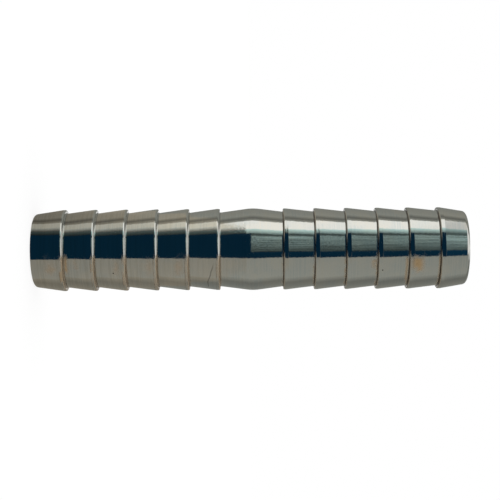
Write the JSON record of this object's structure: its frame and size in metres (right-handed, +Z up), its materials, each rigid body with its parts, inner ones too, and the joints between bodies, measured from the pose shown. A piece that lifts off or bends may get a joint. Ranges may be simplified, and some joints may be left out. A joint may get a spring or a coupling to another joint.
{
  "type": "hose mender",
  "caption": "Straight steel hose mender with a barbed tail at each end, a smooth crowned middle and a bore right through, for joining the ends of a cut hose.",
  "frame": {"origin": "centre of the lower end face, on the bore's axis and on the surface that the part stands on", "axes": "+Z runs up the bore from the end with the longer nose to the end with the shorter one, and X and Y are alike"},
  "size_m": [0.0208, 0.0208, 0.1095],
  "materials": {
    "turned_steel": "gloss"
  },
  "bodies": {
    "root": {"hose_mender": "turned_steel"}
  },
  "joints": []
}
